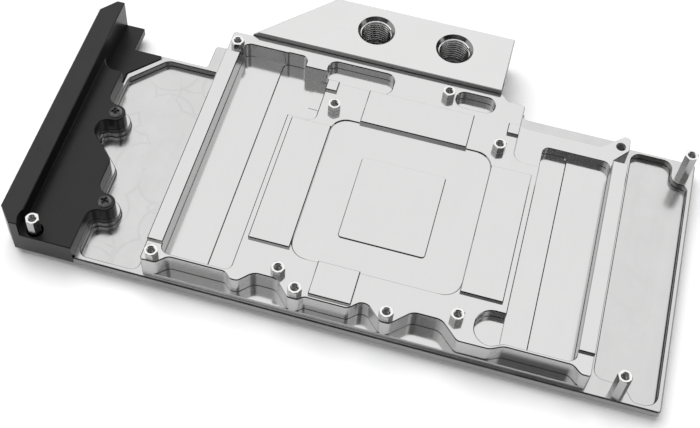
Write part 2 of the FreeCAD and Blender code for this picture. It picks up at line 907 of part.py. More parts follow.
def right_pocket():
    front_x, front_y, turn = tall_standoffs()["tall_standoff_front"]
    rear_x, rear_y, turn = tall_standoffs()["tall_standoff_rear"]
    corners = [
        (pocket_side, right_pocket_back, pocket_radius),
        (pocket_side, front_y + standoff_land_front, pocket_radius),
        (front_x + pocket_slope_start, front_y + standoff_land_front, pocket_slope_radius),
        (front_x + pocket_slope_end, right_pocket_front, pocket_slope_radius),
        (right_pocket_right, right_pocket_front, 4.2),
        (right_pocket_right, rear_y - standoff_land_side, 2.5),
        (rear_x - standoff_land_side, rear_y - standoff_land_side, pocket_radius),
        (rear_x - standoff_land_side, right_pocket_back, pocket_radius),
    ]
    return prism(corners, pocket_floor, above)


def flat_head_profile(clearance):
    """Countersunk screw from the lying face upwards, as (radius, z) from head to shank."""
    top = cover_top + screw_grip - screw_end_gap
    return [(flat_head_radius + clearance, 0), (screw_radius + clearance, flat_head_height),
            (screw_radius + clearance, top)]


def cover_plate():
    body = chamfered(prism(cover_outline(), 0, cover_top), cover_chamfer, cover_top, is_cover_rim)
    body = body.cut([left_pocket(), right_pocket()])
    duct = prism(lane(inlet_line(), duct_width), cover_top - cover_duct_depth, above)
    groove = gasket_width + 2 * gasket_clearance
    groove_floor = cover_top - gasket_thickness
    grooves = [ring(inner_gasket_middle(), groove, groove_floor, above),
               ring(outer_gasket_middle(), groove, groove_floor, above)]
    holes = [faceted(x, y, flat_head_profile(screw_clearance)) for x, y in cover_screw_places()]
    holes += [shank(x, y, spigot_radius + spigot_clearance, cover_top - cover_spigot_length, above)
              for x, y, turn in tall_standoffs().values()]
    holes += [shank(x, y, screw_radius + spigot_clearance, cover_top - end_screw_grip, above)
              for x, y in end_screw_places().values()]
    return body.cut([duct] + grooves + holes).removeSplitter()


def is_cover_rim(middle):
    """True for the outer top edges that show, from the front round the right end to the terminal."""
    return middle.y < cover_front + 1 or middle.x > cover_tab_left - 1


def jet_plate():
    half = jet_slot_width / 2
    front = fin_front + jet_slot_margin
    back = fin_back - jet_slot_margin
    slot = cut_corners([(-half, front), (half, front), (half, back), (-half, back)], 0.6 * half)
    return jet_plate_seat(0).cut(prism(slot, 0, above))


def inlet_gasket():
    return ring(inner_gasket_middle(), gasket_width, cover_top - gasket_thickness, cover_top)


def perimeter_gasket():
    return ring(outer_gasket_middle(), gasket_width, cover_top - gasket_thickness, cover_top)


# Terminal: the block behind the cold plate with the two threaded ports

def port_space(x):
    top = terminal_top
    rim = port_rim_radius - port_thread_radius
    profile = [
        (0, port_floor),
        (port_thread_radius, port_floor),
        (port_thread_radius, top - rim),
        (port_rim_radius, top),
        (port_rim_radius, top + 1),
        (0, top + 1),
    ]
    return turned(x, port_y, profile)


def face_seal(x, clearance, back):
    """Flat racetrack ring round one duct, from the cold plate's back face to the given depth."""
    outer = duct_bore(x, plate_back, back, face_seal_land + face_seal_width + clearance)
    return outer.cut(duct_bore(x, plate_back - 1, back + 1, face_seal_land - clearance))


def terminal_block():
    corners = [
        (terminal_front_left, plate_back),
        (terminal_right, plate_back),
        (terminal_right, terminal_back),
        (terminal_back_left, terminal_back),
    ]
    body = prism(corners, 0, terminal_top)
    body = chamfered(body, terminal_chamfer, terminal_top, is_rear_edge)
    seal_back = plate_back + gasket_thickness
    head_seat = terminal_back - cap_head_height - cap_head_clearance
    cuts = [port_space(x) for x in (inlet_x, outlet_x)]
    cuts += [duct_bore(x, plate_back - 1, port_y) for x in (inlet_x, outlet_x)]
    cuts += [face_seal(x, gasket_clearance, seal_back) for x in (inlet_x, outlet_x)]
    hole = screw_radius + screw_clearance
    sink = cap_head_radius + cap_head_clearance
    for x in terminal_screw_places():
        cuts.append(shank_along_y(x, terminal_screw_z, [(hole, plate_back - 1), (hole, head_seat + 1)]))
        cuts.append(shank_along_y(x, terminal_screw_z, [(sink, head_seat), (sink, terminal_back + 1)]))
    return body.cut(cuts).removeSplitter()


def is_rear_edge(middle):
    return middle.y > plate_back + 1 and middle.x < terminal_right - 1


# Fasteners

def cover_screws():
    socket = hexagon(flat_socket_radius, -1, flat_socket_depth)
    screw = faceted(0, 0, flat_head_profile(0)).cut(socket)
    return Part.makeCompound([screw.translated(Vector(x, y, 0)) for x, y in cover_screw_places()])


def terminal_screws():
    seat = terminal_back - cap_head_height - cap_head_clearance
    back = seat + cap_head_height
    front = plate_back - screw_grip + screw_end_gap
    screws = []
    for x in terminal_screw_places():
        body = shank_along_y(x, terminal_screw_z, [(screw_radius, front), (screw_radius, seat),
                                                   (cap_head_radius, seat), (cap_head_radius, back)])
        socket = hexagon(cap_socket_radius, 0, cap_socket_depth + 1)
        socket.rotate(Vector(0, 0, 0), Vector(1, 0, 0), 90)
        socket.translate(Vector(x, back + 1, terminal_screw_z))
        screws.append(body.cut(socket).removeSplitter())
    return Part.makeCompound(screws)


def end_cover_screw(x, y):
    top = end_floor + pan_head_height
    foot = cover_top - end_screw_grip + screw_clearance
    body = faceted(x, y, [(screw_radius, foot), (screw_radius, end_floor), (pan_head_radius, end_floor),
                          (pan_head_radius, top - 0.4), (pan_head_radius - 0.4, top)])
    reach = 0.6 * pan_head_radius
    half = cross_width / 2
    cross = [block(x - reach, x + reach, y - half, y + half, top - cross_depth, top + 1),
             block(x - half, x + half, y - reach, y + reach, top - cross_depth, top + 1)]
    return body.cut(cross)


def standoff(x, y, turn, foot, spigot):
    """Hexagonal post with a blind threaded bore at its top and a spigot screwed into its seat."""
    top = board_plane
    slope = standoff_corner - standoff_top_radius + 0.2
    round_end = faceted(0, 0, [(standoff_corner + 0.2, foot), (standoff_corner + 0.2, top - slope * 0.7),
                               (standoff_top_radius, top)])
    body = hexagon(standoff_corner, foot, top).common(round_end)
    body = body.cut(rod(0, 0, standoff_bore_radius, top - standoff_bore_depth, top + 1))
    body.rotate(Vector(0, 0, 0), Vector(0, 0, 1), turn)
    body.translate(Vector(x, y, 0))
    return body.fuse(shank(x, y, spigot_radius, foot - spigot, foot)).removeSplitter()


def all_pieces():
    pieces = {
        "cold_plate": cold_plate(),
        "cover_plate": cover_plate(),
        "jet_plate": jet_plate(),
        "perimeter_gasket": perimeter_gasket(),
        "inlet_gasket": inlet_gasket(),
        "terminal_block": terminal_block(),
        "terminal_seal_inlet": face_seal(inlet_x, 0, plate_back + gasket_thickness),
        "terminal_seal_outlet": face_seal(outlet_x, 0, plate_back + gasket_thickness),
        "terminal_screws": terminal_screws(),
        "cover_screws": cover_screws(),
        "end_cover": end_cover(),
    }
    for name, (x, y) in end_screw_places().items():
        pieces[name] = end_cover_screw(x, y)
    for name, (x, y, turn) in {**processor_standoffs(), **edge_standoffs()}.items():
        pieces[name] = standoff(x, y, turn, deck, spigot_length - spigot_end_gap)
    for name, (x, y, turn) in tall_standoffs().items():
        pieces[name] = standoff(x, y, turn, cover_top, cover_spigot_length - spigot_end_gap)
    return pieces


os.makedirs("parts", exist_ok=True)
for name, shape in all_pieces().items():
    shape.exportStep("parts/" + name + ".step")
    print(name, len(shape.Solids), "solids,", "valid" if shape.isValid() else "NOT VALID",
          round(shape.Volume, 1), "mm3")
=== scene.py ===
import bpy
import bmesh
import math
from mathutils import Matrix, Vector


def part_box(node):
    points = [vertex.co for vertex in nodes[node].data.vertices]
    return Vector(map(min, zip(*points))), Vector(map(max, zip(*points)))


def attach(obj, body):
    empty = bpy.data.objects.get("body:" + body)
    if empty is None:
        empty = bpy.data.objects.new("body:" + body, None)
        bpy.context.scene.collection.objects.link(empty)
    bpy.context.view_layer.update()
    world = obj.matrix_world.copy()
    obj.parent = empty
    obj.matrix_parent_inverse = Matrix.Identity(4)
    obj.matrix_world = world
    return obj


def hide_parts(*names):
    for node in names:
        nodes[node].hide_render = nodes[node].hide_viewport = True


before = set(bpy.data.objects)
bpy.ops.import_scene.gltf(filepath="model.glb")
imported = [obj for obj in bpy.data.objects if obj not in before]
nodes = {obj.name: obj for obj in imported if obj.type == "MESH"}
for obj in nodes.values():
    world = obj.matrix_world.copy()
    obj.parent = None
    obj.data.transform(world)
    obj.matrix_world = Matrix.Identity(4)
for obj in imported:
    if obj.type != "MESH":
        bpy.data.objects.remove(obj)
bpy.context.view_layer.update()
mm = 0.001
print("frame loaded:", len(nodes), "nodes")


def addObject(name, data):
    made = bpy.data.objects.new(name, data)
    bpy.context.scene.collection.objects.link(made)
    return made


# Camera, at the photograph's own place and lens, in metres

cameraSetup = {
    "place": (0.0285, -0.2417, 0.3822),
    "right": (0.9627797, 0.26788738, 0.03593894),
    "up": (-0.24103831, 0.79080762, 0.56260452),
    "back": (0.12229386, -0.55032687, 0.82594464),
    "lens": 66.32,
    "sensor": 36,
    "shiftX": 0.04,
    "shiftY": -0.0486,
    "near": 0.01,
    "far": 20,
}


def makeCamera(setup):
    data = bpy.data.cameras.new("photoCamera")
    data.lens = setup["lens"]
    data.sensor_width = setup["sensor"]
    data.shift_x = setup["shiftX"]
    data.shift_y = setup["shiftY"]
    data.clip_start = setup["near"]
    data.clip_end = setup["far"]
    camera = addObject("photoCamera", data)
    columns = [Vector(setup[key]) for key in ("right", "up", "back")]
    turn = Matrix(columns).transposed().to_4x4()
    camera.matrix_world = Matrix.Translation(Vector(setup["place"])) @ turn
    bpy.context.scene.camera = camera


makeCamera(cameraSetup)
bpy.context.scene.view_settings.view_transform = "Standard"
print("camera placed")


# Small helpers for node trees

def addNode(tree, kind, **settings):
    node = tree.nodes.new(kind)
    for key, value in settings.items():
        setattr(node, key, value)
    return node


def link(tree, source, target):
    tree.links.new(source, target)


# Gives a socket a number or another node's output
def feed(tree, value, socket):
    if isinstance(value, (int, float)):
        socket.default_value = value
    else:
        link(tree, value, socket)


def mathOf(tree, operation, *values):
    node = addNode(tree, "ShaderNodeMath", operation=operation)
    for socket, value in zip(node.inputs, values):
        feed(tree, value, socket)
    return node.outputs[0]


def mapRange(tree, value, low, high, outLow, outHigh, clamp=True):
    node = addNode(tree, "ShaderNodeMapRange", clamp=clamp)
    link(tree, value, node.inputs["Value"])
    for label, number in (("From Min", low), ("From Max", high), ("To Min", outLow), ("To Max", outHigh)):
        node.inputs[label].default_value = number
    return node.outputs["Result"]


def mixOf(tree, factor, first, second):
    node = addNode(tree, "ShaderNodeMix", data_type="FLOAT")
    for label, value in (("Factor", factor), ("A", first), ("B", second)):
        feed(tree, value, node.inputs[label])
    return node.outputs["Result"]


def noiseOf(tree, vector, scale, detail):
    node = addNode(tree, "ShaderNodeTexNoise")
    node.inputs["Detail"].default_value = detail
    link(tree, vector, node.inputs["Vector"])
    feed(tree, scale, node.inputs["Scale"])
    return node


def newGroup(name, inputs, outputs):
    group = bpy.data.node_groups.new(name, "ShaderNodeTree")
    for label, kind, value in inputs:
        socket = group.interface.new_socket(name=label, in_out="INPUT", socket_type=kind)
        if value is not None:
            socket.default_value = value
    for label, kind in outputs:
        group.interface.new_socket(name=label, in_out="OUTPUT", socket_type=kind)
    start = addNode(group, "NodeGroupInput")
    end = addNode(group, "NodeGroupOutput")
    return group, start, end


# Places a shared effect in a material and feeds its first input
def useGroup(tree, group, source):
    node = addNode(tree, "ShaderNodeGroup")
    node.node_tree = group
    link(tree, source, node.inputs[0])
    return node


# Shared effects

machinedNoise = {
    "streakDetail": 3.0, "cloudDetail": 3.0, "cloudTwist": 0.6, "grainDetail": 2.0, "grainShare": 0.35,
}
arcPattern = {"shifts": (0.0, 0.37), "slant": 0.5, "randomness": 0.9}
facingLimits = {"upright": (0.12, 0.3), "edge": 0.68, "edgeReach": (0.2, 0.27)}  # height parts of normals


# Streaks along one direction, soft clouds and fine grain of a milled and plated face
def makeMachinedGroup():
    group, start, end = newGroup(
        "machinedFace",
        [("Vector", "NodeSocketVector", None), ("Stretch", "NodeSocketVector", (40.0, 900.0, 40.0)),
         ("Cloud Scale", "NodeSocketFloat", 60.0), ("Grain Scale", "NodeSocketFloat", 4000.0),
         ("Streak Share", "NodeSocketFloat", 0.4)],
        [("Tone", "NodeSocketFloat"), ("Height", "NodeSocketFloat")])
    stretched = addNode(group, "ShaderNodeVectorMath", operation="MULTIPLY")
    link(group, start.outputs["Vector"], stretched.inputs[0])
    link(group, start.outputs["Stretch"], stretched.inputs[1])
    spot = start.outputs["Vector"]
    streak = noiseOf(group, stretched.outputs[0], 1.0, machinedNoise["streakDetail"])
    cloud = noiseOf(group, spot, start.outputs["Cloud Scale"], machinedNoise["cloudDetail"])
    cloud.inputs["Distortion"].default_value = machinedNoise["cloudTwist"]
    grain = noiseOf(group, spot, start.outputs["Grain Scale"], machinedNoise["grainDetail"])
    tone = mixOf(group, start.outputs["Streak Share"], cloud.outputs["Fac"], streak.outputs["Fac"])
    link(group, tone, end.inputs["Tone"])
    grit = mathOf(group, "MULTIPLY", grain.outputs["Fac"], machinedNoise["grainShare"])
    link(group, mathOf(group, "ADD", grit, streak.outputs["Fac"]), end.inputs["Height"])
    return group


# Thin overlapping arcs that an end mill leaves on the floor of a pocket
def makeSwirlGroup():
    group, start, end = newGroup(
        "cutterArcs",
        [("Vector", "NodeSocketVector", None), ("Cell Scale", "NodeSocketFloat", 60.0),
         ("Arc Radius", "NodeSocketFloat", 0.6), ("Arc Width", "NodeSocketFloat", 0.05)],
        [("Arcs", "NodeSocketFloat")])
    marks = []
    for shift in arcPattern["shifts"]:
        moved = addNode(group, "ShaderNodeVectorMath", operation="ADD")
        link(group, start.outputs["Vector"], moved.inputs[0])
        moved.inputs[1].default_value = (shift, arcPattern["slant"] * shift, 0.0)
        cells = addNode(group, "ShaderNodeTexVoronoi", feature="F1", voronoi_dimensions="2D")
        cells.inputs["Randomness"].default_value = arcPattern["randomness"]
        link(group, moved.outputs[0], cells.inputs["Vector"])
        link(group, start.outputs["Cell Scale"], cells.inputs["Scale"])
        offLine = mathOf(group, "SUBTRACT", cells.outputs["Distance"], start.outputs["Arc Radius"])
        near = mathOf(group, "DIVIDE", mathOf(group, "ABSOLUTE", offLine), start.outputs["Arc Width"])
        marks.append(mathOf(group, "SUBTRACT", 1.0, mathOf(group, "MINIMUM", near, 1.0)))
    link(group, mathOf(group, "MAXIMUM", marks[0], marks[1]), end.inputs["Arcs"])
    return group


# Masks by the way a face points: upright, or a broken edge between level and upright
def makeFacingGroup():
    group, start, end = newGroup("facing", [("Normal", "NodeSocketVector", None)],
                                 [("Upright", "NodeSocketFloat"), ("Edge", "NodeSocketFloat")])
    apart = addNode(group, "ShaderNodeSeparateXYZ")
    link(group, start.outputs["Normal"], apart.inputs[0])
    rise = mathOf(group, "ABSOLUTE", apart.outputs["Z"])
    link(group, mapRange(group, rise, *facingLimits["upright"], 1.0, 0.0), end.inputs["Upright"])
    away = mathOf(group, "ABSOLUTE", mathOf(group, "SUBTRACT", rise, facingLimits["edge"]))
    link(group, mapRange(group, away, *facingLimits["edgeReach"], 1.0, 0.0), end.inputs["Edge"])
    return group


# Mask of what lies within a radius of an upright axis and below a height, where a finish paints shade
def makeShadeGroup():
    group, start, end = newGroup(
        "shadeRound",
        [("Vector", "NodeSocketVector", None), ("Middle", "NodeSocketVector", (0.0, 0.0, 0.0)),
         ("Radius", "NodeSocketFloat", 0.007), ("Top", "NodeSocketFloat", 0.01)],
        [("Inside", "NodeSocketFloat")])
    level = addNode(group, "ShaderNodeVectorMath", operation="MULTIPLY")
    link(group, start.outputs["Vector"], level.inputs[0])
    level.inputs[1].default_value = (1.0, 1.0, 0.0)
    away = addNode(group, "ShaderNodeVectorMath", operation="DISTANCE")
    link(group, level.outputs[0], away.inputs[0])
    link(group, start.outputs["Middle"], away.inputs[1])
    apart = addNode(group, "ShaderNodeSeparateXYZ")
    link(group, start.outputs["Vector"], apart.inputs[0])
    near = mathOf(group, "LESS_THAN", away.outputs["Value"], start.outputs["Radius"])
    low = mathOf(group, "LESS_THAN", apart.outputs["Z"], start.outputs["Top"])
    link(group, mathOf(group, "MULTIPLY", near, low), end.inputs["Inside"])
    return group


machinedGroup = makeMachinedGroup()
shadeGroup = makeShadeGroup()
swirlGroup = makeSwirlGroup()
facingGroup = makeFacingGroup()

# Finishes. The upright-face factor paints shade on upright faces, the edge factor paints shade on broken
# edges or, above 1, a highlight, and shades paint shade on what lies round an axis, in millimetres

finishes = {
    "nickelBlock": {
        "colour": (0.742, 0.742, 0.74), "metallic": 1.0,
        "spread": 0.012, "roughness": 0.12, "roughSpread": 0.04,
        "stretch": (500.0, 60.0, 500.0), "cloud": 70.0, "grain": 5000.0, "bump": 0.01,
        "wall": 0.64, "wallRough": 0.26, "edge": 0.45,
    },
    "nickelCover": {
        "colour": (0.68, 0.68, 0.678), "metallic": 1.0,
        "spread": 0.04, "roughness": 0.2, "roughSpread": 0.06,
        "stretch": (240.0, 14.0, 240.0), "cloud": 110.0, "grain": 4000.0, "bump": 0.01,
        "wall": 0.42, "wallRough": 0.28, "edge": 0.3, "swirlBelow": 1.5 * mm,
    },
    "nickelTerminal": {
        "colour": (0.775, 0.775, 0.772), "metallic": 1.0,
        "spread": 0.012, "roughness": 0.18, "roughSpread": 0.05,
        "stretch": (60.0, 500.0, 500.0), "cloud": 70.0, "grain": 5000.0, "bump": 0.01,
        "wall": 0.45, "wallRough": 0.34, "edge": 0.35,
    },
    "polishedSteel": {
        "colour": (0.93, 0.93, 0.925), "metallic": 1.0,
        "spread": 0.03, "roughness": 0.14, "roughSpread": 0.05,
        "stretch": (300.0, 300.0, 3000.0), "cloud": 300.0, "grain": 6000.0, "bump": 0.03,
        "wall": 0.42, "wallRough": 0.2, "edge": 0.8,
    },
    "screwSteel": {
        "colour": (0.6, 0.6, 0.59), "metallic": 1.0,
        "spread": 0.05, "roughness": 0.25, "roughSpread": 0.08,
        "stretch": (900.0, 900.0, 900.0), "cloud": 400.0, "grain": 6000.0, "bump": 0.04,
        "wall": 0.8, "wallRough": 0.3, "edge": 1.0,
    },
    "brushedSheet": {
        "colour": (0.62, 0.62, 0.61), "metallic": 1.0,
        "spread": 0.06, "roughness": 0.3, "roughSpread": 0.1,
        "stretch": (60.0, 2500.0, 60.0), "cloud": 120.0, "grain": 5000.0, "bump": 0.05,
        "wall": 0.8, "wallRough": 0.35, "edge": 1.0,
    },
    "sealRubber": {
        "colour": (0.022, 0.022, 0.023), "metallic": 0.0,
        "spread": 0.3, "roughness": 0.6, "roughSpread": 0.12,
        "stretch": (500.0, 500.0, 500.0), "cloud": 300.0, "grain": 7000.0, "bump": 0.15,
        "wall": 1.0, "wallRough": 0.6, "edge": 1.0,
    },
    "threadNickel": {
        "colour": (0.96, 0.96, 0.955), "metallic": 1.0,
        "spread": 0.03, "roughness": 0.24, "roughSpread": 0.03,
        "stretch": (300.0, 300.0, 300.0), "cloud": 300.0, "grain": 6000.0, "bump": 0.02,
        "wall": 0.4, "wallRough": 0.34, "edge": 1.0,
    },
    "blackCover": {
        "colour": (0.014, 0.014, 0.014), "metallic": 0.0, "specular": 0.38,
        "spread": 0.12, "roughness": 0.32, "roughSpread": 0.06,
        "stretch": (900.0, 60.0, 900.0), "cloud": 120.0, "grain": 7000.0, "bump": 0.05,
        "wall": 0.35, "wallRough": 0.3, "edge": 0.4,
        # painted shade: the end cover's faces below 9.5 mm take a darker colour
        "shades": [{"middle": (-110.0, 0.0), "radius": 100.0, "top": 9.5, "level": 0.55}],
    },
    "blackScrew": {
        "colour": (0.045, 0.045, 0.046), "metallic": 0.6,
        "spread": 0.15, "roughness": 0.3, "roughSpread": 0.1,
        "stretch": (1200.0, 1200.0, 1200.0), "cloud": 500.0, "grain": 7000.0, "bump": 0.05,
        # edge factor 3 paints a highlight on the head's rim
        "wall": 1.0, "wallRough": 0.3, "edge": 3.0,
    },
}
toneRange = (0.3, 0.7)  # what the noise mostly gives
bumpHeight = 0.1
arcShare = {"left": -0.35, "right": -0.05, "fade": 20}  # how much the cutter's arcs darken each end


def makeFinish(name, values):
    material = bpy.data.materials.new(name)
    material.use_nodes = True
    tree = material.node_tree
    shader = tree.nodes["Principled BSDF"]
    shader.inputs["Metallic"].default_value = values["metallic"]
    shader.inputs["Specular IOR Level"].default_value = values.get("specular", 0.5)
    coords = addNode(tree, "ShaderNodeTexCoord").outputs["Object"]
    face = useGroup(tree, machinedGroup, coords)
    face.inputs["Stretch"].default_value = values["stretch"]
    face.inputs["Cloud Scale"].default_value = values["cloud"]
    face.inputs["Grain Scale"].default_value = values["grain"]
    tone = face.outputs["Tone"]
    if "swirlBelow" in values:
        arcs = useGroup(tree, swirlGroup, coords)
        apart = addNode(tree, "ShaderNodeSeparateXYZ")
        link(tree, coords, apart.inputs[0])
        low = mathOf(tree, "LESS_THAN", apart.outputs["Z"], values["swirlBelow"])
        fade = arcShare["fade"] * mm
        share = mapRange(tree, apart.outputs["X"], -fade, fade, arcShare["left"], arcShare["right"])
        marks = mathOf(tree, "MULTIPLY", mathOf(tree, "MULTIPLY", arcs.outputs["Arcs"], low), share)
        tone = mathOf(tree, "ADD", tone, marks)
    normal = addNode(tree, "ShaderNodeNewGeometry").outputs["Normal"]
    facing = useGroup(tree, facingGroup, normal)
    # Painted shade: upright faces take a darker colour
    wall = mixOf(tree, facing.outputs["Upright"], 1.0, values["wall"])
    # Painted shade on broken edges, or a painted highlight where the edge factor is above 1
    paintedShadeAndHighlight = mixOf(tree, facing.outputs["Edge"], wall, values["edge"])
    # Painted shade on what lies round an axis and below a height
    for shade in values.get("shades", []):
        mask = useGroup(tree, shadeGroup, coords)
        mask.inputs["Middle"].default_value = Vector((*shade["middle"], 0)) * mm
        mask.inputs["Radius"].default_value = shade["radius"] * mm
        mask.inputs["Top"].default_value = shade["top"] * mm
        inside = mixOf(tree, mask.outputs["Inside"], 1.0, shade["level"])
        paintedShadeAndHighlight = mathOf(tree, "MULTIPLY", paintedShadeAndHighlight, inside)
    varied = mapRange(tree, tone, *toneRange, 1 - values["spread"], 1 + values["spread"], clamp=False)
    tinted = addNode(tree, "ShaderNodeVectorMath", operation="SCALE")
    tinted.inputs[0].default_value = values["colour"]
    link(tree, mathOf(tree, "MULTIPLY", varied, paintedShadeAndHighlight), tinted.inputs["Scale"])
    link(tree, tinted.outputs[0], shader.inputs["Base Color"])
    rough = mapRange(tree, tone, *toneRange, values["roughness"] - values["roughSpread"],
                     values["roughness"] + values["roughSpread"])
    rough = mixOf(tree, facing.outputs["Upright"], rough, values["wallRough"])
    link(tree, rough, shader.inputs["Roughness"])
    bump = addNode(tree, "ShaderNodeBump")
    bump.inputs["Strength"].default_value = values["bump"]
    bump.inputs["Distance"].default_value = bumpHeight * mm
    link(tree, face.outputs["Height"], bump.inputs["Height"])
    link(tree, bump.outputs["Normal"], shader.inputs["Normal"])
    return material


materials = {name: makeFinish(name, values) for name, values in finishes.items()}
print("finishes made:", len(materials))

# Pieces that are finished from the frame's own solids

platePieces = {
    "coldPlate": {"node": "cold_plate", "finish": "nickelBlock", "sharp": 32, "break": 0.16},
    "coverPlate": {"node": "cover_plate", "finish": "nickelCover", "sharp": 32, "break": 0.28},
    "terminalBlock": {"node": "terminal_block", "finish": "nickelTerminal", "sharp": 32, "break": 0.34},
    "endCover": {"node": "end_cover", "finish": "blackCover", "sharp": 32, "break": 0.16},
    "jetPlate": {"node": "jet_plate", "finish": "brushedSheet", "sharp": 32},
    "perimeterGasket": {"node": "perimeter_gasket", "finish": "sealRubber", "sharp": 32},
    "inletGasket": {"node": "inlet_gasket", "finish": "sealRubber", "sharp": 32},
    "terminalSealInlet": {"node": "terminal_seal_inlet", "finish": "sealRubber", "sharp": 32},
    "terminalSealOutlet": {"node": "terminal_seal_outlet", "finish": "sealRubber", "sharp": 32},
}

# How square edges are found and chamfered, in millimetres and degrees
squareEdges = {
    "merge": 0.002,         # points nearer than this are one
    "flatAngle": 0.5,       # faces that meet flatter than this are one
    "angle": 62,            # edges sharper than this are square
    "room": 2.2,            # how many chamfer widths the next square edge has to be away
    "sameLine": 0.02,       # nearer than this it is the same line
    "shares": (0.0, 0.25, 0.5, 0.75, 1.0),  # where along it the distance is taken
    "levelNormal": 0.9995,  # height part of a level face's normal
}


# Whether another square edge lies across a face of this one within the width, too near for both to be
# chamfered
def isNarrow(edge, square, width):
    start = edge.verts[0].co
    along = (edge.verts[1].co - start).normalized()
    length = edge.calc_length()
    for face in edge.link_faces:
        across = face.normal.cross(along)
        for other in face.edges:
            if other is edge or other not in square:
                continue
            for share in squareEdges["shares"]:
                reach = other.verts[0].co.lerp(other.verts[1].co, share) - start
                apart = abs(reach.dot(across))
                if squareEdges["sameLine"] * mm < apart < width and 0 <= reach.dot(along) <= length:
                    return True
    return False


# Breaks the square edges and inner corners of a plate with a small chamfer, where there is room for one
def chamferEdges(name, work, width):
    flat = math.radians(squareEdges["flatAngle"])
    bmesh.ops.dissolve_limit(work, angle_limit=flat, verts=work.verts, edges=work.edges)
    sharpest = math.radians(squareEdges["angle"])
    square = {edge for edge in work.edges if len(edge.link_faces) == 2 and edge.calc_face_angle() > sharpest}
    broken = [edge for edge in work.edges
              if edge in square and not isNarrow(edge, square, squareEdges["room"] * width)]
    print(name, "square edges:", len(square), "chamfered:", len(broken))
    bmesh.ops.bevel(work, geom=broken, offset=width, offset_type="OFFSET", segments=1, profile=0.5,
                    affect="EDGES", clamp_overlap=False, loop_slide=True)
    bmesh.ops.triangulate(work, faces=[face for face in work.faces if len(face.verts) > 4])


# Keeps level faces flat beside the smooth curved ones
def sharpenLevelFaces(mesh):
    for face in mesh.polygons:
        if abs(face.normal.z) > squareEdges["levelNormal"]:
            for corner in face.loop_indices:
                mesh.edges[mesh.loops[corner].edge_index].use_edge_sharp = True


# Merged copy of a node's mesh, with smooth curved faces and broken edges
def finishNode(name, values):
    source = nodes[values["node"]].data
    mesh = bpy.data.meshes.new(name)
    corners = [corner.co for corner in source.vertices]
    mesh.from_pydata(corners, [], [face.vertices for face in source.polygons])
    work = bmesh.new()
    work.from_mesh(mesh)
    bmesh.ops.remove_doubles(work, verts=work.verts, dist=squareEdges["merge"] * mm)
    if "break" in values:
        chamferEdges(name, work, values["break"] * mm)
    work.to_mesh(mesh)
    work.free()
    mesh.materials.append(materials[values["finish"]])
    mesh.shade_smooth()
    mesh.set_sharp_from_angle(angle=math.radians(values["sharp"]))
    sharpenLevelFaces(mesh)
    piece = addObject(name, mesh)
    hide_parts(values["node"])
    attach(piece, "root")


for name, values in platePieces.items():
    finishNode(name, values)
print("solids finished:", len(platePieces))


# Geometry trees for what repeats: standoffs, screws and threads

plainInputs = ("Steps", "Turn", "Tilt")  # the inputs that aren't lengths
sides = {"tooth": 4, "hexagon": 6, "shank": 24, "bore": 32, "socketHead": 32, "panHead": 40, "post": 64}
domeRings = 32
postFlare = 1.6  # how much a post's cones widen over its height
shankStart = 0.2  # where a socket screw's shank starts inside its head
toothShape = (1.0, 0.4, 1.0)  # flattens the four-cornered ridge of a thread


def newTree(name, lengths, plain=()):
    tree = bpy.data.node_groups.new(name, "GeometryNodeTree")
    face = tree.interface
    face.new_socket(name="Places", in_out="INPUT", socket_type="NodeSocketGeometry")
    for label in lengths:
        face.new_socket(name=label, in_out="INPUT", socket_type="NodeSocketFloat")
    for label in plain:
        kind = "NodeSocketInt" if label == "Steps" else "NodeSocketFloat"
        face.new_socket(name=label, in_out="INPUT", socket_type=kind)
    face.new_socket(name="Finish", in_out="INPUT", socket_type="NodeSocketMaterial")
    face.new_socket(name="Made", in_out="OUTPUT", socket_type="NodeSocketGeometry")
    return tree, addNode(tree, "NodeGroupInput"), addNode(tree, "NodeGroupOutput")


def place(tree, shape, height=0.0, tilt=None):
    node = addNode(tree, "GeometryNodeTransform")
    link(tree, shape, node.inputs["Geometry"])
    shift = addNode(tree, "ShaderNodeCombineXYZ")
    feed(tree, height, shift.inputs["Z"])
    link(tree, shift.outputs[0], node.inputs["Translation"])
    if tilt is not None:
        node.inputs["Rotation"].default_value = tilt
    return node.outputs[0]


def bar(tree, kind, radius, depth):
    node = addNode(tree, "GeometryNodeMeshCylinder")
    node.inputs["Vertices"].default_value = sides[kind]
    link(tree, radius, node.inputs["Radius"])
    link(tree, depth, node.inputs["Depth"])
    return node.outputs["Mesh"]


# Cone that stands on its lower radius, its foot at height 0
def cone(tree, kind, low, high, depth):
    node = addNode(tree, "GeometryNodeMeshCone")
    node.inputs["Vertices"].default_value = sides[kind]
    link(tree, low, node.inputs["Radius Bottom"])
    link(tree, high, node.inputs["Radius Top"])
    link(tree, depth, node.inputs["Depth"])
    return node.outputs["Mesh"]


def combine(tree, operation, first, others):
    node = addNode(tree, "GeometryNodeMeshBoolean", operation=operation, solver="EXACT")
    if operation == "DIFFERENCE":
        link(tree, first, node.inputs["Mesh 1"])
    else:
        link(tree, first, node.inputs["Mesh 2"])
    for other in others:
        link(tree, other, node.inputs["Mesh 2"])
    return node.outputs["Mesh"]


def join(tree, shapes):
    node = addNode(tree, "GeometryNodeJoinGeometry")
    for shape in shapes:
        link(tree, shape, node.inputs[0])
    return node.outputs[0]


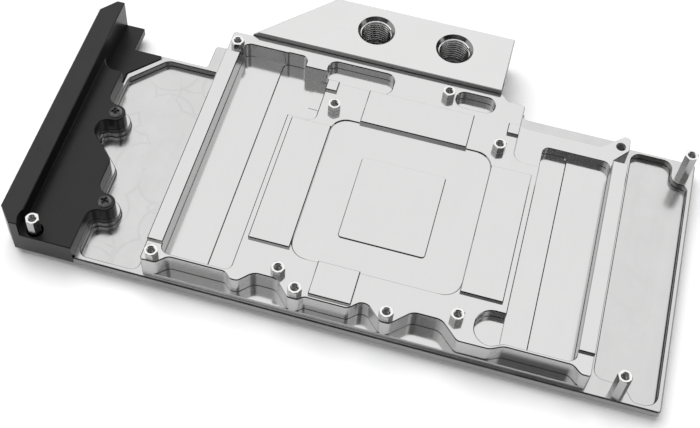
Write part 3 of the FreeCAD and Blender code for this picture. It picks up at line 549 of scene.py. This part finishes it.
# Repeats a shape at every place, turned about the height or tilted, and gives it its finish
def repeat(tree, start, end, shape, turn=None, tilt=None):
    repeated = addNode(tree, "GeometryNodeInstanceOnPoints")
    link(tree, start.outputs["Places"], repeated.inputs["Points"])
    link(tree, shape, repeated.inputs["Instance"])
    angles = addNode(tree, "ShaderNodeCombineXYZ")
    if turn is not None:
        link(tree, turn, angles.inputs["Z"])
    if tilt is not None:
        link(tree, tilt, angles.inputs["X"])
    link(tree, angles.outputs[0], repeated.inputs["Rotation"])
    real = addNode(tree, "GeometryNodeRealizeInstances")
    link(tree, repeated.outputs[0], real.inputs[0])
    coated = addNode(tree, "GeometryNodeSetMaterial")
    link(tree, real.outputs[0], coated.inputs["Geometry"])
    link(tree, start.outputs["Finish"], coated.inputs["Material"])
    link(tree, coated.outputs[0], end.inputs[0])


# Runs a tree on its places and keeps the result as a plain mesh
def treePiece(name, tree, places, values):
    mesh = bpy.data.meshes.new(name)
    mesh.from_pydata([Vector(spot) * mm for spot in places], [], [])
    piece = addObject(name, mesh)
    modifier = piece.modifiers.new("made", "NODES")
    modifier.node_group = tree
    for item in tree.interface.items_tree:
        if item.in_out != "INPUT" or item.name == "Places":
            continue
        if item.name == "Finish":
            modifier[item.identifier] = materials[values["finish"]]
        elif item.name in plainInputs:
            modifier[item.identifier] = values[item.name]
        else:
            modifier[item.identifier] = values[item.name] * mm
    seen = piece.evaluated_get(bpy.context.evaluated_depsgraph_get())
    made = bpy.data.meshes.new_from_object(seen)
    piece.modifiers.remove(modifier)
    piece.data = made
    made.name = name
    made.materials.clear()
    made.materials.append(materials[values["finish"]])
    made.polygons.foreach_set("material_index", [0] * len(made.polygons))
    if "sharp" in values:
        made.shade_smooth()
        made.set_sharp_from_angle(angle=math.radians(values["sharp"]))
    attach(piece, "root")
    return piece


# Hexagonal post: both ends turned to a cone, a groove above the foot, a countersunk bore and a spigot below
def makeStandoffTree():
    tree, start, end = newTree(
        "hexStandoff",
        ("Flats", "Height", "Top Radius", "Foot Radius", "Mouth Radius", "Bore Radius", "Bore Depth",
         "Spigot Radius", "Spigot Length", "Groove Radius", "Groove Width", "Groove Level"),
        ("Turn",))
    size = start.outputs
    corner = mathOf(tree, "DIVIDE", size["Flats"], math.sqrt(3))
    half = mathOf(tree, "DIVIDE", size["Height"], 2.0)
    wide = mathOf(tree, "MULTIPLY", size["Height"], postFlare)
    post = place(tree, bar(tree, "hexagon", corner, size["Height"]), half)
    topBase = mathOf(tree, "ADD", size["Top Radius"], wide)
    upper = cone(tree, "post", topBase, size["Top Radius"], size["Height"])
    footBase = mathOf(tree, "ADD", size["Foot Radius"], wide)
    lower = cone(tree, "post", footBase, size["Foot Radius"], size["Height"])
    lower = place(tree, lower, size["Height"], (math.pi, 0, 0))
    body = combine(tree, "INTERSECT", post, [upper, lower])
    boreLength = mathOf(tree, "MULTIPLY", size["Bore Depth"], 2.0)
    bore = place(tree, bar(tree, "bore", size["Bore Radius"], boreLength), size["Height"])
    sink = mathOf(tree, "SUBTRACT", size["Mouth Radius"], size["Bore Radius"])
    broad = mathOf(tree, "ADD", size["Mouth Radius"], sink)
    mouth = place(tree, cone(tree, "bore", size["Bore Radius"], broad, mathOf(tree, "MULTIPLY", sink, 2.0)),
                  mathOf(tree, "SUBTRACT", size["Height"], sink))
    ring = combine(tree, "DIFFERENCE", bar(tree, "bore", size["Flats"], size["Groove Width"]),
                   [bar(tree, "bore", size["Groove Radius"], size["Flats"])])
    groove = place(tree, ring, size["Groove Level"])
    body = combine(tree, "DIFFERENCE", body, [bore, mouth, groove])
    spigot = place(tree, bar(tree, "shank", size["Spigot Radius"], size["Spigot Length"]),
                   mathOf(tree, "DIVIDE", size["Spigot Length"], -2.0))
    repeat(tree, start, end, join(tree, (spigot, body)), turn=size["Turn"])
    return tree


# Screw whose head's face lies at height 0 and whose shank points up: cone or cap head, hexagon socket
def makeSocketScrewTree():
    tree, start, end = newTree(
        "socketScrew",
        ("Face Radius", "Foot Radius", "Head Height", "Shank Radius", "Shank Length", "Socket Radius",
         "Socket Depth"),
        ("Tilt",))
    size = start.outputs
    head = cone(tree, "socketHead", size["Face Radius"], size["Foot Radius"], size["Head Height"])
    middle = mathOf(tree, "ADD", mathOf(tree, "DIVIDE", size["Shank Length"], 2.0), shankStart * mm)
    shank = place(tree, bar(tree, "shank", size["Shank Radius"], size["Shank Length"]), middle)
    body = combine(tree, "UNION", head, [shank])
    socketLength = mathOf(tree, "MULTIPLY", size["Socket Depth"], 2.0)
    socket = bar(tree, "hexagon", size["Socket Radius"], socketLength)
    body = combine(tree, "DIFFERENCE", body, [socket])
    repeat(tree, start, end, body, tilt=size["Tilt"])
    return tree


# Screw with a domed pan head that stands on height 0, and a cross cut into it
def makeCrossScrewTree():
    tree, start, end = newTree(
        "crossScrew",
        ("Head Radius", "Head Height", "Dome Radius", "Shank Radius", "Shank Length", "Slot Width",
         "Slot Reach", "Slot Depth"),
        ("Turn",))
    size = start.outputs
    head = place(tree, bar(tree, "panHead", size["Head Radius"], size["Head Height"]),
                 mathOf(tree, "DIVIDE", size["Head Height"], 2.0))
    ball = addNode(tree, "GeometryNodeMeshUVSphere")
    ball.inputs["Segments"].default_value = sides["panHead"]
    ball.inputs["Rings"].default_value = domeRings
    link(tree, size["Dome Radius"], ball.inputs["Radius"])
    ballMiddle = mathOf(tree, "SUBTRACT", size["Head Height"], size["Dome Radius"])
    dome = place(tree, ball.outputs["Mesh"], ballMiddle)
    body = combine(tree, "INTERSECT", head, [dome])
    cuts = []
    for axes in (("X", "Y"), ("Y", "X")):
        box = addNode(tree, "GeometryNodeMeshCube")
        edges = addNode(tree, "ShaderNodeCombineXYZ")
        link(tree, size["Slot Reach"], edges.inputs[axes[0]])
        link(tree, size["Slot Width"], edges.inputs[axes[1]])
        link(tree, mathOf(tree, "MULTIPLY", size["Slot Depth"], 2.0), edges.inputs["Z"])
        link(tree, edges.outputs[0], box.inputs["Size"])
        cuts.append(place(tree, box.outputs["Mesh"], size["Head Height"]))
    body = combine(tree, "DIFFERENCE", body, cuts)
    shank = place(tree, bar(tree, "shank", size["Shank Radius"], size["Shank Length"]),
                  mathOf(tree, "DIVIDE", size["Shank Length"], -2.0))
    repeat(tree, start, end, join(tree, (shank, body)), turn=size["Turn"])
    return tree


# Helical ridge of a thread inside a bore
def makeThreadTree():
    tree, start, end = newTree("threadRun", ("Radius", "Pitch", "Length", "Depth"), ("Steps",))
    size = start.outputs
    helix = addNode(tree, "GeometryNodeCurveSpiral")
    link(tree, size["Steps"], helix.inputs["Resolution"])
    link(tree, mathOf(tree, "DIVIDE", size["Length"], size["Pitch"]), helix.inputs["Rotations"])
    link(tree, size["Radius"], helix.inputs["Start Radius"])
    link(tree, size["Radius"], helix.inputs["End Radius"])
    link(tree, size["Length"], helix.inputs["Height"])
    upright = addNode(tree, "GeometryNodeSetCurveNormal", mode="Z_UP")
    link(tree, helix.outputs[0], upright.inputs[0])
    tooth = addNode(tree, "GeometryNodeCurvePrimitiveCircle")
    tooth.inputs["Resolution"].default_value = sides["tooth"]
    link(tree, size["Depth"], tooth.inputs["Radius"])
    flanks = addNode(tree, "GeometryNodeTransform")
    link(tree, tooth.outputs[0], flanks.inputs["Geometry"])
    flanks.inputs["Scale"].default_value = toothShape
    sweep = addNode(tree, "GeometryNodeCurveToMesh")
    sweep.inputs["Fill Caps"].default_value = True
    link(tree, upright.outputs[0], sweep.inputs["Curve"])
    link(tree, flanks.outputs[0], sweep.inputs["Profile Curve"])
    repeat(tree, start, end, sweep.outputs[0])
    return tree


standoffTree = makeStandoffTree()
socketScrewTree = makeSocketScrewTree()
crossScrewTree = makeCrossScrewTree()
threadTree = makeThreadTree()

# Standoffs, each turned as it stands on the part

standoffSizes = {
    "Flats": 4.3, "Top Radius": 2.12, "Foot Radius": 2.12, "Mouth Radius": 1.5, "Bore Radius": 1.25,
    "Bore Depth": 2.8, "Spigot Radius": 1.6, "Spigot Length": 2.5,
    "Groove Radius": 1.95, "Groove Width": 0.2, "Groove Level": 0.95, "finish": "polishedSteel", "sharp": 28,
}
tallSpigot = 1.9
standoffTurns = {
    "processor_standoff_front_left": 3, "processor_standoff_front_right": 24,
    "processor_standoff_rear_left": 38, "processor_standoff_rear_right": 20,
    "standoff_front_left": 0, "standoff_front_middle": 0, "standoff_front_right": 0,
    "standoff_rear_left": 12, "standoff_rear_middle": 27,
    "tall_standoff_left": 0, "tall_standoff_front": -8, "tall_standoff_rear": 18,
}
standoffLevels = {"top": 16.5, "deck": 13.3, "cover": 3.4}
boreThreads = {
    "start": 2.6,  # below the standoff's top
    "Radius": 1.3, "Pitch": 0.45, "Length": 2.2, "Depth": 0.16, "Steps": 20, "finish": "polishedSteel",
}


def middleOf(nodeName):
    low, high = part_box(nodeName)
    return (low + high) / 2 / mm


def joinedName(nodeName):
    words = nodeName.split("_")
    return words[0] + "".join(word.capitalize() for word in words[1:])


bores = []
for nodeName, degrees in standoffTurns.items():
    middle = middleOf(nodeName)
    foot = standoffLevels["cover" if nodeName.startswith("tall") else "deck"]
    sizes = dict(standoffSizes, Height=standoffLevels["top"] - foot, Turn=math.radians(degrees))
    if nodeName.startswith("tall"):
        sizes["Spigot Length"] = tallSpigot
    post = treePiece(joinedName(nodeName), standoffTree, [(middle.x, middle.y, foot)], sizes)
    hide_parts(nodeName)
    bores.append((middle.x, middle.y, standoffLevels["top"] - boreThreads["start"]))
treePiece("standoffThreads", threadTree, bores, boreThreads)
print("standoffs made:", len(bores))

# Screws

coverScrews = {
    "node": "cover_screws",
    "places": [(-36.35, -14.0, 0), (36.35, -14.0, 0), (-36.35, 20.0, 0), (36.35, 20.0, 0),
               (-72.85, -39.0, 0), (72.85, -39.0, 0), (-72.85, 55.0, 0), (-42.0, 55.2, 0),
               (30.6, 53.2, 0), (54.75, 46.7, 0)],
    "Face Radius": 2.75, "Foot Radius": 1.5, "Head Height": 1.65, "Shank Radius": 1.5, "Shank Length": 7.4,
    "Socket Radius": 1.1, "Socket Depth": 1.0, "Tilt": 0.0, "finish": "screwSteel", "sharp": 30,
}
terminalScrews = {
    "node": "terminal_screws",
    "places": [(-36.0, 86.2, 6.9), (20.0, 86.2, 6.9)],
    "Face Radius": 2.75, "Foot Radius": 2.75, "Head Height": 3.0, "Shank Radius": 1.5, "Shank Length": 30.7,
    "Socket Radius": 1.4, "Socket Depth": 1.5, "Tilt": math.pi / 2, "finish": "screwSteel", "sharp": 30,
}
crossScrews = {
    "nodes": {"end_cover_screw_rear": 20, "end_cover_screw_front": -12},
    "seat": 9.2,
    "Head Radius": 2.45, "Head Height": 1.2, "Dome Radius": 3.6, "Shank Radius": 1.5, "Shank Length": 8.5,
    "Slot Width": 0.8, "Slot Reach": 3.0, "Slot Depth": 0.95, "finish": "blackScrew", "sharp": 30,
}

for name, values in (("coverScrews", coverScrews), ("terminalScrews", terminalScrews)):
    made = treePiece(name, socketScrewTree, values["places"], values)
    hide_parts(values["node"])
for nodeName, degrees in crossScrews["nodes"].items():
    middle = middleOf(nodeName)
    sizes = dict(crossScrews, Turn=math.radians(degrees))
    spot = (middle.x, middle.y, crossScrews["seat"])
    made = treePiece(joinedName(nodeName), crossScrewTree, [spot], sizes)
    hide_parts(nodeName)
screwCount = len(coverScrews["places"]) + len(terminalScrews["places"]) + len(crossScrews["nodes"])
print("screws made:", screwCount)

# Threads of the ports and of the ear's hole

portThreads = {
    "places": [(-24.4, 74.0, 3.2), (5.6, 74.0, 3.2)],
    "Radius": 6.0, "Pitch": 1.2, "Length": 10.7, "Depth": 0.9, "Steps": 48, "finish": "threadNickel",
}
earThread = {
    "places": [(72.5, 51.8, 3.6)],
    "Radius": 1.67, "Pitch": 0.6, "Length": 5.9, "Depth": 0.16, "Steps": 24, "finish": "nickelBlock",
}
for name, values in (("portThreads", portThreads), ("earHoleThread", earThread)):
    made = treePiece(name, threadTree, values["places"], values)
    print(name, [round(side / mm, 2) for side in made.dimensions], len(made.data.polygons))

# Studio: pale floor, even white surroundings, one large soft lamp and dark cards that only gloss sees

studio = {
    "floorColour": (0.93, 0.93, 0.93), "floorLift": 0.06, "glossLift": 0.06, "floorLevel": -3.0,
    "floorReach": 4, "floorRough": 0.9,
    "skyLevel": 0.34, "glossLevel": 1.0,
    "lampPlace": (-0.42, 0.34, 1.1), "lampAngle": 62, "lampPower": 2.9,
}
bands = {
    "frontBand": {"radius": 0.8, "low": 0.3, "high": 0.84, "from": -150, "to": 0, "steps": 30,
                  "level": 0.03},
    "rightBand": {"radius": 0.8, "low": 0.02, "high": 0.28, "from": 12, "to": 55, "steps": 12,
                  "level": 0.03},
}
cards = {
    "highFrontCard": {"middle": (-0.45, -0.55, 0.98), "width": 1.2, "height": 0.62, "aim": (-0.45, 0, 0.98),
                      "level": 0.6},
    "frontRightCard": {"middle": (0.5, -0.55, 0.98), "width": 0.7, "height": 0.62, "aim": (0.5, 0, 0.98),
                       "level": 0.12},
    "highRightCard": {"middle": (0.62, 0.14, 0.80), "width": 0.6, "height": 0.5, "aim": (0, 0, 0),
                      "level": 0.2},
    "cameraCard": {"middle": (0.115, -0.28, 0.42), "width": 0.22, "height": 0.26, "aim": (0.06, 0, 0),
                   "level": 0.12},
}


def rectangle(wide, high):
    return (-wide, -high), (wide, -high), (wide, high), (-wide, high)


def makeFloor():
    mesh = bpy.data.meshes.new("floor")
    level = studio["floorLevel"] * mm
    corners = [(x, y, level) for x, y in rectangle(studio["floorReach"], studio["floorReach"])]
    mesh.from_pydata(corners, [], [(0, 1, 2, 3)])
    floor = addObject("floor", mesh)
    material = bpy.data.materials.new("floorPaper")
    material.use_nodes = True
    tree = material.node_tree
    shader = tree.nodes["Principled BSDF"]
    shader.inputs["Base Color"].default_value = (*studio["floorColour"], 1)
    shader.inputs["Roughness"].default_value = studio["floorRough"]
    shader.inputs["Specular IOR Level"].default_value = 0.0
    shader.inputs["Emission Color"].default_value = (1, 1, 1, 1)
    path = addNode(tree, "ShaderNodeLightPath")
    straight = mathOf(tree, "MULTIPLY", path.outputs["Is Camera Ray"], studio["floorLift"])
    mirrored = mathOf(tree, "MULTIPLY", path.outputs["Is Glossy Ray"], studio["glossLift"])
    link(tree, mathOf(tree, "ADD", straight, mirrored), shader.inputs["Emission Strength"])
    mesh.materials.append(material)


def makeSky():
    world = bpy.data.worlds.new("studioSky")
    bpy.context.scene.world = world
    world.use_nodes = True
    tree = world.node_tree
    sky = tree.nodes["Background"]
    path = addNode(tree, "ShaderNodeLightPath")
    first = mathOf(tree, "MAXIMUM", path.outputs["Is Camera Ray"], path.outputs["Is Glossy Ray"])
    seen = mathOf(tree, "MAXIMUM", first, path.outputs["Is Transmission Ray"])
    link(tree, mixOf(tree, seen, studio["skyLevel"], studio["glossLevel"]), sky.inputs["Strength"])
    sky.inputs["Color"].default_value = (1, 1, 1, 1)


# Placement whose -Z looks from the middle at the target
def aimed(middle, target):
    turn = (Vector(target) - Vector(middle)).to_track_quat("-Z", "Y")
    return Matrix.Translation(Vector(middle)) @ turn.to_matrix().to_4x4()


def makeLamp():
    data = bpy.data.lights.new("softLamp", "SUN")
    data.angle = math.radians(studio["lampAngle"])
    data.energy = studio["lampPower"]
    lamp = addObject("softLamp", data)
    lamp.visible_glossy = False
    lamp.visible_camera = False
    lamp.matrix_world = aimed(studio["lampPlace"], (0, 0, 0))


def makeCard(name, corners, faces, level):
    mesh = bpy.data.meshes.new(name)
    mesh.from_pydata(corners, [], faces)
    card = addObject(name, mesh)
    material = bpy.data.materials.new(name)
    material.use_nodes = True
    tree = material.node_tree
    tree.nodes.remove(tree.nodes["Principled BSDF"])
    glow = addNode(tree, "ShaderNodeEmission")
    glow.inputs["Strength"].default_value = level
    link(tree, glow.outputs[0], tree.nodes["Material Output"].inputs["Surface"])
    mesh.materials.append(material)
    card.visible_camera = False
    card.visible_diffuse = False
    card.visible_shadow = False
    card.visible_transmission = False


def flatCard(name, values):
    spot = aimed(values["middle"], values["aim"])
    corners = [spot @ Vector((x, y, 0)) for x, y in rectangle(values["width"] / 2, values["height"] / 2)]
    makeCard(name, corners, [(0, 1, 2, 3)], values["level"])


# Curved dark wall that the part's edges and upright faces mirror
def bandCard(name, values):
    steps = values["steps"]
    corners = []
    for step in range(steps + 1):
        angle = math.radians(values["from"] + (values["to"] - values["from"]) * step / steps)
        x = values["radius"] * math.cos(angle)
        y = values["radius"] * math.sin(angle)
        corners += [(x, y, values["low"]), (x, y, values["high"])]
    faces = [(2 * i, 2 * i + 1, 2 * i + 3, 2 * i + 2) for i in range(steps)]
    makeCard(name, corners, faces, values["level"])


makeFloor()
makeSky()
makeLamp()
for name, values in bands.items():
    bandCard(name, values)
for name, values in cards.items():
    flatCard(name, values)
print("studio lit")
